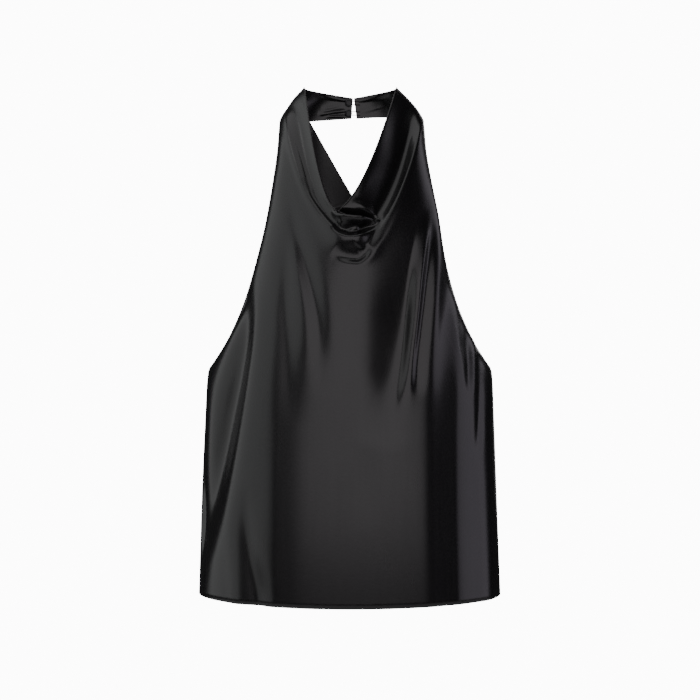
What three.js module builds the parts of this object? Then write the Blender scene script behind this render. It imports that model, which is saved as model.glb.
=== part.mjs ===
import * as THREE from "three";

// A satin halter neck top with a draped cowl, filled out as worn. Millimetres, +Z up. The origin is at the
// nape, halfway up the inner face of the neck band. The front faces -Y, and left and right are as seen
// from the front. Each cut piece of cloth is one closed wall, 0.3 mm from the piece it is sewn to.
const WALL = 1.5;
const SEAM_GAP = 0.3;
const SIDE_SEAM_Y = -70;
const SATIN = { color: 0x141316, roughness: 0.36, metalness: 0 };
const BUTTON_FINISH = { color: 0x1b1a1c, roughness: 0.25, metalness: 0 };

// The front panel's outer edge, by height: side seam, armhole, then the shoulder line up to the neck point.
const EDGE = [
  { z: -621, left: 190, right: 189, y: SIDE_SEAM_Y },
  { z: -500, left: 186.5, right: 184.5, y: SIDE_SEAM_Y },
  { z: -400, left: 182, right: 181, y: SIDE_SEAM_Y },
  { z: -342, left: 178.5, right: 178.5, y: SIDE_SEAM_Y },
  { z: -327, left: 168.5, right: 169, y: -77 },
  { z: -302, left: 152.5, right: 153, y: -89 },
  { z: -253, left: 130, right: 131, y: -107 },
  { z: -204, left: 115, right: 117.5, y: -115 },
  { z: -155, left: 103.5, right: 109, y: -111 },
  { z: -104, left: 95.5, right: 101, y: -98 },
  { z: -64, left: 91, right: 95.5, y: -80 },
  { z: -26, left: 89, right: 93.5, y: -57 },
  { z: -12, left: 82, right: 87, y: -53 },
  { z: 3, left: 72.5, right: 75, y: -51 },
  { z: 18.5, left: 58.5, right: 59.5, y: -50 },
];
const SHOULDER_Z = -26;
const NECK_Z = 18.5;

// The rows of the front panel, from hem to rim. x, y, z is a row's lowest point. leftEnd and rightEnd are the
// heights where it meets the outer edge. leftSag and rightSag shape its two arms: 1 is straight, more hangs
// deeper. round is how soon it turns back towards the sides. relief is how far a fold stands out there, and
// leftReach and rightReach are how far along each arm it lasts. steps is the grid steps to the next row.
const FRONT_ROWS = [
  { name: "hem", x: 0, y: -190, z: -622.5, leftEnd: -620, rightEnd: -621, leftSag: 2, rightSag: 2,
    round: 1, relief: 0, leftReach: 1, rightReach: 1, steps: 3 },
  { name: "hip", x: 0, y: -191, z: -540, leftEnd: -540, rightEnd: -540, leftSag: 2, rightSag: 2,
    round: 1, relief: 0, leftReach: 1, rightReach: 1, steps: 3 },
  { name: "waist", x: 0, y: -190, z: -450, leftEnd: -450, rightEnd: -450, leftSag: 2, rightSag: 2,
    round: 1, relief: 0, leftReach: 1, rightReach: 1, steps: 3 },
  { name: "low_chest", x: 0, y: -189, z: -384, leftEnd: -380, rightEnd: -380, leftSag: 2, rightSag: 2,
    round: 1, relief: 0, leftReach: 1, rightReach: 1, steps: 2 },
  { name: "underarm", x: 0, y: -189, z: -354, leftEnd: -342, rightEnd: -342, leftSag: 2, rightSag: 2,
    round: 1, relief: 0, leftReach: 1, rightReach: 1, steps: 2 },
  { name: "mid_chest", x: 1, y: -188, z: -318, leftEnd: -278, rightEnd: -275, leftSag: 2, rightSag: 2,
    round: 1.05, relief: 0, leftReach: 1, rightReach: 1, steps: 2 },
  { name: "high_chest", x: 2, y: -187, z: -280, leftEnd: -200, rightEnd: -190, leftSag: 2, rightSag: 1.9,
    round: 1.1, relief: 0, leftReach: 1, rightReach: 1, steps: 2 },
  { name: "bib", x: 3, y: -185, z: -246, leftEnd: -120, rightEnd: -100, leftSag: 2.1, rightSag: 1.8,
    round: 1.15, relief: 0, leftReach: 1, rightReach: 1, steps: 2 },
  { name: "under_low_fold", x: 4, y: -184, z: -225, leftEnd: -72, rightEnd: -52, leftSag: 2.1, rightSag: 1.75,
    round: 1.15, relief: 0.5, leftReach: 0.6, rightReach: 1.25, steps: 2 },
  { name: "low_fold", x: 4.7, y: -183, z: -209.8, leftEnd: -44, rightEnd: -26, leftSag: 2.2, rightSag: 1.75,
    round: 1.15, relief: 9, leftReach: 0.6, rightReach: 1.2, steps: 2 },
  { name: "low_pocket", x: 5, y: -182, z: -193, leftEnd: -26, rightEnd: -20, leftSag: 2.3, rightSag: 1.9,
    round: 1.2, relief: -5, leftReach: 0.8, rightReach: 1.2, steps: 2 },
  { name: "middle_fold", x: 0, y: -180, z: -181, leftEnd: -16, rightEnd: -15, leftSag: 2.2, rightSag: 2.1,
    round: 1.25, relief: 7, leftReach: 1.15, rightReach: 0.5, steps: 2 },
  { name: "middle_pocket", x: 0, y: -177, z: -167, leftEnd: -8, rightEnd: -9, leftSag: 2.7, rightSag: 2.6,
    round: 1.3, relief: -6, leftReach: 0.9, rightReach: 0.6, steps: 2 },
  { name: "upper_fold", x: 2, y: -174, z: -157, leftEnd: -1, rightEnd: -3, leftSag: 2.8, rightSag: 3.2,
    round: 1.35, relief: 5, leftReach: 0.4, rightReach: 0.5, steps: 2 },
  { name: "upper_crease", x: -4, y: -171, z: -152, leftEnd: 6, rightEnd: 4, leftSag: 2.6, rightSag: 3,
    round: 1.4, relief: -4, leftReach: 0.2, rightReach: 0.6, steps: 2 },
  { name: "rim_band", x: -13, y: -169, z: -149, leftEnd: 12, rightEnd: 11, leftSag: 2.3, rightSag: 2,
    round: 1.4, relief: 0, leftReach: 0.8, rightReach: 1, steps: 2 },
  { name: "rim", x: -15.6, y: -168, z: -147, leftEnd: NECK_Z, rightEnd: NECK_Z, leftSag: 1.9, rightSag: 1.6,
    round: 1.4, relief: 0, leftReach: 1, rightReach: 1, steps: 0 },
];
const FRONT_COLUMNS = 50;

// Folds that run down a panel. Each goes from its top to its foot with a sideways bow; depth is out when
// positive and in when negative, and a foot below the hem runs the fold off the edge.
const FRONT_FOLDS = [
  { name: "left_side_trough", topX: -112, topZ: -215, footX: -176, footZ: -585, bow: 14, topWidth: 9,
    footWidth: 13, depth: -6 },
  { name: "left_trough", topX: -77, topZ: -190, footX: -79, footZ: -600, bow: 1, topWidth: 9, footWidth: 13,
    depth: -4 },
  { name: "left_cowl_trough", topX: -86, topZ: -80, footX: -42, footZ: -370, bow: 9, topWidth: 7,
    footWidth: 9, depth: -3.5 },
  { name: "left_hem_trough", topX: -132, topZ: -470, footX: -124, footZ: -760, bow: 0, topWidth: 6,
    footWidth: 22, depth: -7 },
  { name: "right_cowl_ridge", topX: 96, topZ: -150, footX: 50, footZ: -400, bow: -2, topWidth: 8,
    footWidth: 8, depth: 5 },
  { name: "right_ridge", topX: 113, topZ: -190, footX: 86, footZ: -410, bow: -2, topWidth: 7,
    footWidth: 7, depth: 4.5 },
  { name: "right_trough", topX: 118, topZ: -240, footX: 110, footZ: -800, bow: -4, topWidth: 12,
    footWidth: 15, depth: -8 },
  { name: "right_side_ridge", topX: 140, topZ: -300, footX: 142, footZ: -800, bow: 0, topWidth: 10,
    footWidth: 13, depth: 4 },
];
const BACK_FOLDS = [
  { name: "back_left_trough", topX: -104, topZ: -335, footX: -112, footZ: -800, bow: 3, topWidth: 11,
    footWidth: 17, depth: -6 },
  { name: "back_middle_trough", topX: -22, topZ: -380, footX: -30, footZ: -800, bow: 2, topWidth: 14,
    footWidth: 18, depth: -4 },
  { name: "back_right_trough", topX: 84, topZ: -330, footX: 92, footZ: -800, bow: -4, topWidth: 11,
    footWidth: 16, depth: -6 },
  { name: "back_right_ridge", topX: 126, topZ: -330, footX: 128, footZ: -800, bow: 0, topWidth: 10,
    footWidth: 14, depth: 3 },
];

// The back panel: how far its middle stands behind the side seams, by height, and the height of its rows.
const BACK_ROWS = [
  { z: -620.5, middleZ: -621.5, depth: 106, steps: 3 },
  { z: -540, middleZ: -540, depth: 105, steps: 3 },
  { z: -450, middleZ: -451, depth: 97, steps: 3 },
  { z: -380, middleZ: -386, depth: 93, steps: 2 },
  { z: -342, middleZ: -352, depth: 92, steps: 0 },
];
const BACK_COLUMNS = 30;

// The facing's free edge, drawn tight behind the rim, in the columns of the front rows.
const FACING_EDGE = { x: 14, y: -138, z: -145, endZ: 5, leftSag: 1.08, rightSag: 1.45, round: 1.8 };
const FACING_DEPTH_STEPS = 5;
const FACING_CLEARANCE = 2 * SEAM_GAP;

// The neck bands run from the shoulder lines back to the nape, where their ends stand a little apart.
const NAPE_HALF_HEIGHT = 13;
const NAPE_MIDDLE_Y = WALL / 2;
const SHOULDER_GAP = 2 * SEAM_GAP;
const BANDS = [
  { name: "neck_band_left", side: -1, topEndX: 3.2, lowEndX: 1.3, topLift: 2, lowLift: 3 },
  { name: "neck_band_right", side: 1, topEndX: 5.6, lowEndX: 9, topLift: 2, lowLift: 9 },
];
const BAND_LENGTH_STEPS = 20;
const BAND_HEIGHT_STEPS = 5;

// Two round buttons by the left end of the band, each held by a cord loop from the right end.
const FASTENERS = [
  { name: "upper", x: -1.6, z: 6.9 },
  { name: "lower", x: -1.6, z: -6.7 },
];
const FASTENER_FACE_Y = -0.5;
const BUTTON = { radius: 4.5, thickness: 2, rim: 0.6, dish: 0.5, shankRadius: 1.3, standOff: 2.3, segments: 24 };
const LOOP = { cordRadius: 0.6, halfWidth: 2.3, startX: 13, sides: 8, turnSteps: 10 };

// A smooth curve through a table's column, with no overshoot, as a function of another column.
function column(rows, key, name) {
  const count = rows.length;
  const at = rows.map((row, i) => (key === "index" ? i : row[key]));
  const value = rows.map((row) => row[name]);
  const slope = at.slice(1).map((next, i) => (value[i + 1] - value[i]) / (next - at[i]));
  const tangent = value.map((_, i) => {
    if (i === 0) return slope[0];
    if (i === count - 1) return slope[count - 2];
    const before = slope[i - 1];
    const after = slope[i];
    return before * after <= 0 ? 0 : (2 * before * after) / (before + after);
  });
  return (position) => {
    const inside = THREE.MathUtils.clamp(position, at[0], at[count - 1]);
    let i = 0;
    while (i < count - 2 && inside > at[i + 1]) i += 1;
    const width = at[i + 1] - at[i];
    const s = (inside - at[i]) / width;
    const rise = s * s * (3 - 2 * s);
    const leave = s * (1 - s) * (1 - s) * width;
    const arrive = s * s * (s - 1) * width;
    return value[i] * (1 - rise) + value[i + 1] * rise + leave * tangent[i] + arrive * tangent[i + 1];
  };
}

function columns(rows, key, names) {
  return Object.fromEntries(names.map((name) => [name, column(rows, key, name)]));
}

// The grid positions, in table rows, that the steps column asks for.
function gridPositions(rows) {
  const positions = [];
  rows.forEach((row, i) => {
    for (let step = 0; step < row.steps; step += 1) positions.push(i + step / row.steps);
  });
  positions.push(rows.length - 1);
  return positions;
}

const edgeOf = columns(EDGE, "z", ["left", "right", "y"]);

function edgePoint(side, z) {
  const x = side < 0 ? -edgeOf.left(z) : edgeOf.right(z);
  return new THREE.Vector3(x, edgeOf.y(z), z);
}

// A point on a row that hangs between two ends. turn runs from -1 at the left end to 1 at the right.
function hangingPoint(row, turn, endPoint) {
  const along = Math.abs(Math.sin((turn * Math.PI) / 2));
  const across = Math.cos((turn * Math.PI) / 2);
  const sag = turn < 0 ? row.leftSag : row.rightSag;
  const x = row.x + (endPoint.x - row.x) * along;
  const y = endPoint.y + (row.y - endPoint.y) * Math.pow(Math.max(across, 0), row.round);
  const z = row.z + (endPoint.z - row.z) * Math.pow(along, sag);
  return new THREE.Vector3(x, y, z);
}

// How far the folds in a table move a point of a panel, by its place seen from the front.
function foldDepth(folds, x, z) {
  return folds.reduce((sum, fold) => {
    const down = (fold.topZ - z) / (fold.topZ - fold.footZ);
    if (down <= 0 || down >= 1) return sum;
    const middle = THREE.MathUtils.lerp(fold.topX, fold.footX, down) + fold.bow * 4 * down * (1 - down);
    const width = THREE.MathUtils.lerp(fold.topWidth, fold.footWidth, down);
    const away = (x - middle) / width;
    const fade = THREE.MathUtils.smoothstep(down, 0, 0.25) * (1 - THREE.MathUtils.smoothstep(down, 0.7, 1));
    return sum + fold.depth * fade * Math.exp(-away * away);
  }, 0);
}

// Unit normals of a grid of points, along the cross product of its two directions.
function gridNormals(grid) {
  const last = grid.length - 1;
  return grid.map((line, i) => line.map((_, j) => {
    const end = line.length - 1;
    const alongLine = line[Math.min(j + 1, end)].clone().sub(line[Math.max(j - 1, 0)]);
    const alongGrid = grid[Math.min(i + 1, last)][j].clone().sub(grid[Math.max(i - 1, 0)][j]);
    return alongLine.cross(alongGrid).normalize();
  }));
}

function moved(grid, distance) {
  const normals = gridNormals(grid);
  return grid.map((line, i) => line.map((point, j) => (
    point.clone().addScaledVector(normals[i][j], distance(i, j))
  )));
}

// A closed wall of cloth: the grid moved out and in by half the wall, joined round its four edges.
function clothWall(grid, wall = WALL) {
  const outer = moved(grid, () => wall / 2).flat();
  const inner = moved(grid, () => -wall / 2).flat();
  const lines = grid.length;
  const width = grid[0].length;
  const half = outer.length;
  const index = [];
  const quad = (a, b, c, d) => index.push(a, b, c, a, c, d);
  for (let i = 0; i < lines - 1; i += 1) {
    for (let j = 0; j < width - 1; j += 1) {
      const a = i * width + j;
      quad(a, a + 1, a + width + 1, a + width);
      quad(half + a, half + a + width, half + a + width + 1, half + a + 1);
    }
  }
  const rimOf = [];
  for (let j = 0; j < width - 1; j += 1) rimOf.push(j);
  for (let i = 0; i < lines - 1; i += 1) rimOf.push(i * width + width - 1);
  for (let j = width - 1; j > 0; j -= 1) rimOf.push((lines - 1) * width + j);
  for (let i = lines - 1; i > 0; i -= 1) rimOf.push(i * width);
  rimOf.forEach((a, k) => {
    const b = rimOf[(k + 1) % rimOf.length];
    quad(a, half + a, half + b, b);
  });
  const geometry = new THREE.BufferGeometry();
  const coordinates = [...outer, ...inner].flatMap((point) => point.toArray());
  geometry.setAttribute("position", new THREE.Float32BufferAttribute(coordinates, 3));
  geometry.setIndex(index);
  geometry.computeVertexNormals();
  return geometry;
}

function piece(name, geometry, finish) {
  const mesh = new THREE.Mesh(geometry, new THREE.MeshStandardMaterial({ ...finish, side: THREE.DoubleSide }));
  mesh.name = name;
  return mesh;
}

// The front panel's middle surface: hanging rows, the cowl's folds, then the folds that run down it.
function frontGrid() {
  const names = ["x", "y", "z", "leftEnd", "rightEnd", "leftSag", "rightSag", "round", "relief", "leftReach",
    "rightReach"];
  const rowOf = columns(FRONT_ROWS, "index", names);
  const rows = gridPositions(FRONT_ROWS).map((position) => (
    Object.fromEntries(names.map((name) => [name, rowOf[name](position)]))
  ));
  const turns = Array.from({ length: FRONT_COLUMNS + 1 }, (_, j) => (2 * j) / FRONT_COLUMNS - 1);
  const hanging = rows.map((row) => turns.map((turn) => {
    const endPoint = turn < 0 ? edgePoint(-1, row.leftEnd) : edgePoint(1, row.rightEnd);
    return hangingPoint(row, turn, endPoint);
  }));
  return moved(hanging, (i, j) => {
    const turn = turns[j];
    const reach = turn < 0 ? rows[i].leftReach : rows[i].rightReach;
    const lasting = 1 - THREE.MathUtils.smoothstep(Math.abs(turn), 0.35 * reach, reach);
    const clearOfEdge = 1 - THREE.MathUtils.smoothstep(Math.abs(turn), 0.85, 1);
    const point = hanging[i][j];
    const cowl = rows[i].relief * lasting;
    return (cowl + foldDepth(FRONT_FOLDS, point.x, point.z)) * clearOfEdge;
  });
}

// The back panel: half sections from side seam to side seam, with soft folds.
function backGrid() {
  const rowOf = columns(BACK_ROWS, "index", ["z", "middleZ", "depth"]);
  const turns = Array.from({ length: BACK_COLUMNS + 1 }, (_, j) => 1 - (2 * j) / BACK_COLUMNS);
  const smooth = gridPositions(BACK_ROWS).map((position) => turns.map((turn) => {
    const across = Math.max(Math.cos((turn * Math.PI) / 2), 0);
    const along = Math.sin((turn * Math.PI) / 2);
    const z = THREE.MathUtils.lerp(rowOf.middleZ(position), rowOf.z(position), along * along);
    const x = Math.abs(along) * edgePoint(Math.sign(turn) || 1, z).x;
    return new THREE.Vector3(x, SIDE_SEAM_Y + SEAM_GAP + rowOf.depth(position) * across, z);
  }));
  return moved(smooth, (i, j) => {
    const clearOfEdge = 1 - THREE.MathUtils.smoothstep(Math.abs(turns[j]), 0.8, 1);
    return foldDepth(BACK_FOLDS, smooth[i][j].x, smooth[i][j].z) * clearOfEdge;
  });
}

// The facing: it starts just inside the rim and is drawn back to its own tight free edge.
function facingGrid(front) {
  const rim = front[front.length - 1];
  const insideRim = moved(front, () => -(WALL + FACING_CLEARANCE))[front.length - 1];
  const freeEdge = rim.map((_, j) => {
    const turn = (2 * j) / FRONT_COLUMNS - 1;
    const endPoint = edgePoint(turn < 0 ? -1 : 1, FACING_EDGE.endZ);
    endPoint.x -= Math.sign(endPoint.x) * 2 * WALL;
    endPoint.y -= FACING_CLEARANCE;
    return hangingPoint(FACING_EDGE, turn, endPoint);
  });
  const lines = [];
  for (let step = FACING_DEPTH_STEPS; step >= 0; step -= 1) {
    const back = step / FACING_DEPTH_STEPS;
    lines.push(insideRim.map((point, j) => point.clone().lerp(freeEdge[j], back)));
  }
  return lines;
}

// A neck band: its start follows the shoulder line, its end stands at the nape, and it turns round the neck.
function bandGrid(band) {
  const lines = [];
  for (let i = 0; i <= BAND_HEIGHT_STEPS; i += 1) {
    const up = i / BAND_HEIGHT_STEPS;
    const start = edgePoint(band.side, THREE.MathUtils.lerp(SHOULDER_Z, NECK_Z, up));
    const endX = THREE.MathUtils.lerp(band.lowEndX, band.topEndX, up);
    const endZ = THREE.MathUtils.lerp(-NAPE_HALF_HEIGHT, NAPE_HALF_HEIGHT, up);
    const line = [];
    for (let j = 0; j <= BAND_LENGTH_STEPS; j += 1) {
      const turn = ((j / BAND_LENGTH_STEPS) * Math.PI) / 2;
      const x = endX + (start.x - endX) * Math.cos(turn);
      const y = start.y + SHOULDER_GAP + (NAPE_MIDDLE_Y - start.y - SHOULDER_GAP) * Math.sin(turn);
      const lift = THREE.MathUtils.lerp(band.lowLift, band.topLift, up) * Math.sin(2 * turn) * Math.sin(turn);
      const z = THREE.MathUtils.lerp(start.z, endZ, 1 - Math.cos(turn)) + lift;
      line.push(new THREE.Vector3(x, y, z));
    }
    lines.push(band.side < 0 ? line.reverse() : line);
  }
  return lines;
}

// A button with a dished face, a rounded rim and a shank, turned about its own axis.
function buttonGeometry() {
  const back = BUTTON.standOff;
  const front = back + BUTTON.thickness;
  const profile = [
    [0, SEAM_GAP],
    [BUTTON.shankRadius, SEAM_GAP],
    [BUTTON.shankRadius, back],
    [BUTTON.radius - BUTTON.rim, back],
    [BUTTON.radius, back + BUTTON.rim],
    [BUTTON.radius, front - BUTTON.rim],
    [BUTTON.radius - BUTTON.rim, front],
    [BUTTON.radius - 2 * BUTTON.rim, front],
    [BUTTON.radius - 3 * BUTTON.rim, front - BUTTON.dish],
    [0, front - BUTTON.dish],
  ];
  const geometry = new THREE.LatheGeometry(profile.map(([r, h]) => new THREE.Vector2(r, h)), BUTTON.segments);
  geometry.rotateX(Math.PI);
  return geometry;
}

// A cord loop: from the right band end, round the shank under the button, and back.
function loopGeometry(fastener) {
  const y = -(SEAM_GAP + LOOP.cordRadius);
  const path = [new THREE.Vector3(LOOP.startX, y, LOOP.halfWidth)];
  path.push(new THREE.Vector3(LOOP.startX / 2, y, LOOP.halfWidth));
  for (let i = 0; i <= LOOP.turnSteps; i += 1) {
    const turn = Math.PI / 2 + (i / LOOP.turnSteps) * Math.PI;
    path.push(new THREE.Vector3(
      fastener.x + LOOP.halfWidth * Math.cos(turn), y, LOOP.halfWidth * Math.sin(turn),
    ));
  }
  path.push(new THREE.Vector3(LOOP.startX / 2, y, -LOOP.halfWidth));
  path.push(new THREE.Vector3(LOOP.startX, y, -LOOP.halfWidth));
  const section = new THREE.Shape(Array.from({ length: LOOP.sides }, (_, i) => {
    const turn = (2 * Math.PI * i) / LOOP.sides;
    return new THREE.Vector2(LOOP.cordRadius * Math.cos(turn), LOOP.cordRadius * Math.sin(turn));
  }));
  return new THREE.ExtrudeGeometry(section, {
    extrudePath: new THREE.CatmullRomCurve3(path),
    steps: 2 * path.length,
    bevelEnabled: false,
  });
}

const top = new THREE.Group();
const front = frontGrid();
top.add(piece("front_panel", clothWall(front), SATIN));
top.add(piece("cowl_facing", clothWall(facingGrid(front)), SATIN));
top.add(piece("back_panel", clothWall(backGrid()), SATIN));
BANDS.forEach((band) => top.add(piece(band.name, clothWall(bandGrid(band)), SATIN)));
FASTENERS.forEach((fastener) => {
  const button = piece(`button_${fastener.name}`, buttonGeometry(), BUTTON_FINISH);
  button.position.set(fastener.x, FASTENER_FACE_Y, fastener.z);
  const loop = piece(`loop_${fastener.name}`, loopGeometry(fastener), SATIN);
  loop.position.set(0, FASTENER_FACE_Y, fastener.z);
  top.add(button, loop);
});

export default top;
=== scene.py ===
"""A black satin halter neck top with a draped cowl, filled out as worn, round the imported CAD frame."""
import math

import bpy
import numpy as np
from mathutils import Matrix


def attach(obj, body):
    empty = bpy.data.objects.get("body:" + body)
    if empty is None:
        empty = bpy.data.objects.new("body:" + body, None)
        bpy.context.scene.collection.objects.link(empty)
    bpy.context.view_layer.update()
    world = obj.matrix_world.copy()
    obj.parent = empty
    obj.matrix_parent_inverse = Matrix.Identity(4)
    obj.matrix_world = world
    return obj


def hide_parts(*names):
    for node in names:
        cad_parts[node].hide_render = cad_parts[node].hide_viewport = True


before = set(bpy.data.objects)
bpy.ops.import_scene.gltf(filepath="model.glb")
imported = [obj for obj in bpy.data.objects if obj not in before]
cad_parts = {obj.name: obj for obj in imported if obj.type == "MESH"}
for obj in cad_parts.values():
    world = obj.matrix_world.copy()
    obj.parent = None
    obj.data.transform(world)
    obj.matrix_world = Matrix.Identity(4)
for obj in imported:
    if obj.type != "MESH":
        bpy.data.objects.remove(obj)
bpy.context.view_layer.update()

# The view
# The camera stands level with the middle of the top, straight in front of it. The side seams lie two metres
# away, where a pixel of the 700 pixel picture covers 1.26 mm.
SIDE_SEAM_Y = -0.070
CAMERA_DISTANCE = 2.0
CAMERA_HEIGHT = -0.315
PICTURE_PIXELS = 700
METRES_PER_PIXEL = 0.00126
SENSOR_MM = 36.0

camera_data = bpy.data.cameras.new("camera")
camera_data.sensor_width = SENSOR_MM
camera_data.lens = SENSOR_MM * CAMERA_DISTANCE / (METRES_PER_PIXEL * PICTURE_PIXELS)
camera = bpy.data.objects.new("camera", camera_data)
camera.location = (0.0, SIDE_SEAM_Y - CAMERA_DISTANCE, CAMERA_HEIGHT)
camera.rotation_euler = (math.pi / 2, 0.0, 0.0)
bpy.context.scene.collection.objects.link(camera)
bpy.context.scene.camera = camera

# The studio
# A pale floor far below the hem, a white backdrop and soft boxes. The widest stand in front and at the left,
# as the sheen on the cloth shows. One hangs above, two weaker ones stand far right, and one stands behind.
FLOOR_Z = -1.25
FLOOR_RADIUS = 1.5
FLOOR_POINTS = 96
FLOOR_PAINT = (0.86, 0.86, 0.87, 1.0)
FLOOR_GLOW = 3.0
FLOOR_GLOW_COLOUR = (0.97, 0.98, 1.0, 1.0)
BACKDROP_STRENGTH = 12.0
ROOM_STRENGTH = 0.02
ROOM_COLOUR = (0.95, 0.96, 1.0, 1.0)
SOFT_BOXES = [
    # name, azimuth from straight in front (right is positive), z, distance, width, height, watts, colour
    ("front_box", 6, 0.22, 2.7, 4.0, 2.5, 40.5, (1.0, 0.955, 0.985)),
    ("left_box", -80, 0.50, 2.3, 3.8, 3.8, 47.0, (0.985, 1.0, 1.0)),
    ("top_box", -40, 1.75, 0.35, 2.2, 2.2, 15.0, (1.0, 0.99, 1.0)),
    ("right_box", 84, -0.4, 2.2, 1.4, 1.7, 7.3, (1.0, 0.93, 1.06)),
    ("right_high_box", 112, 0.65, 2.2, 1.1, 0.9, 3.0, (1.0, 0.94, 1.05)),
    ("back_box", 177, 0.30, 2.7, 2.3, 2.3, 22.0, (1.0, 0.99, 1.0)),
]
AIM = np.array([0.0, -0.08, -0.33])

world = bpy.data.worlds.new("studio")
bpy.context.scene.world = world
world.use_nodes = True
sky = world.node_tree
sky.nodes.clear()
room = sky.nodes.new("ShaderNodeBackground")
room.inputs["Color"].default_value = ROOM_COLOUR
room.inputs["Strength"].default_value = ROOM_STRENGTH
backdrop = sky.nodes.new("ShaderNodeBackground")
backdrop.inputs["Color"].default_value = (1.0, 1.0, 1.0, 1.0)
backdrop.inputs["Strength"].default_value = BACKDROP_STRENGTH
seen = sky.nodes.new("ShaderNodeLightPath")
choice = sky.nodes.new("ShaderNodeMixShader")
sky_out = sky.nodes.new("ShaderNodeOutputWorld")
sky.links.new(seen.outputs["Is Camera Ray"], choice.inputs["Fac"])
sky.links.new(room.outputs["Background"], choice.inputs[1])
sky.links.new(backdrop.outputs["Background"], choice.inputs[2])
sky.links.new(choice.outputs["Shader"], sky_out.inputs["Surface"])


def soft_box(name, azimuth, z, distance, width, height, watts, colour):
    """A rectangular area light on a circle round the top, which faces the top's middle."""
    lamp = bpy.data.lights.new(name, "AREA")
    lamp.shape = "RECTANGLE"
    lamp.size = width
    lamp.size_y = height
    lamp.energy = watts
    lamp.color = colour
    made = bpy.data.objects.new(name, lamp)
    turn = math.radians(azimuth)
    made.location = (distance * math.sin(turn), AIM[1] - distance * math.cos(turn), z)
    made.rotation_euler = (math.pi / 2 - math.atan2(z - AIM[2], distance), 0.0, turn)
    made.visible_camera = False
    bpy.context.scene.collection.objects.link(made)


for box_values in SOFT_BOXES:
    soft_box(*box_values)

floor_turn = np.linspace(0, 2 * np.pi, FLOOR_POINTS, endpoint=False)
floor_points = np.stack([FLOOR_RADIUS * np.cos(floor_turn), FLOOR_RADIUS * np.sin(floor_turn),
                         np.full_like(floor_turn, FLOOR_Z)], axis=1)
floor_mesh = bpy.data.meshes.new("floor")
floor_mesh.from_pydata(floor_points.tolist(), [], [list(range(FLOOR_POINTS))])
floor = bpy.data.objects.new("floor", floor_mesh)
bpy.context.scene.collection.objects.link(floor)
floor_paint = bpy.data.materials.new("floor_paint")
floor_paint.use_nodes = True
floor_shader = floor_paint.node_tree.nodes["Principled BSDF"]
floor_shader.inputs["Base Color"].default_value = FLOOR_PAINT
floor_shader.inputs["Roughness"].default_value = 0.9
floor_shader.inputs["Emission Color"].default_value = FLOOR_GLOW_COLOUR
floor_seen = floor_paint.node_tree.nodes.new("ShaderNodeLightPath")
floor_glow = floor_paint.node_tree.nodes.new("ShaderNodeMath")
floor_glow.operation = "MULTIPLY"
floor_glow.inputs[1].default_value = FLOOR_GLOW
floor_paint.node_tree.links.new(floor_seen.outputs["Is Camera Ray"], floor_glow.inputs[0])
floor_paint.node_tree.links.new(floor_glow.outputs["Value"], floor_shader.inputs["Emission Strength"])
floor_mesh.materials.append(floor_paint)

# The front panel
# One piece of light black satin, cut wide above the armholes so that it falls forward as a cowl. It hangs
# from the shoulder lines and armhole edges, and its folds run down from them. The tables are in millimetres.
MM = 0.001
SATIN_THICKNESS = 0.0005
SATIN_DARK = (0.0032, 0.0030, 0.0034, 1.0)
SATIN_LIGHT = (0.0054, 0.0050, 0.0056, 1.0)
SATIN_ROUGHNESS = 0.23
# the length of cloth over which the threads' wave turns by one radian, and the radians that Blender's wave
# node turns over a metre at scale 1
THREAD_RADIAN = 0.00035
WAVE_NODE_RATE = 20
THREAD_SLANT = math.radians(27)
THREAD_WANDER = 1.4
THREAD_HEIGHT = 0.00006
DRIFT_SCALE = 9.0
SLUB_SCALE = (220.0, 9.0, 1.0)
SLUB_ROUGHNESS = 0.06


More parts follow.
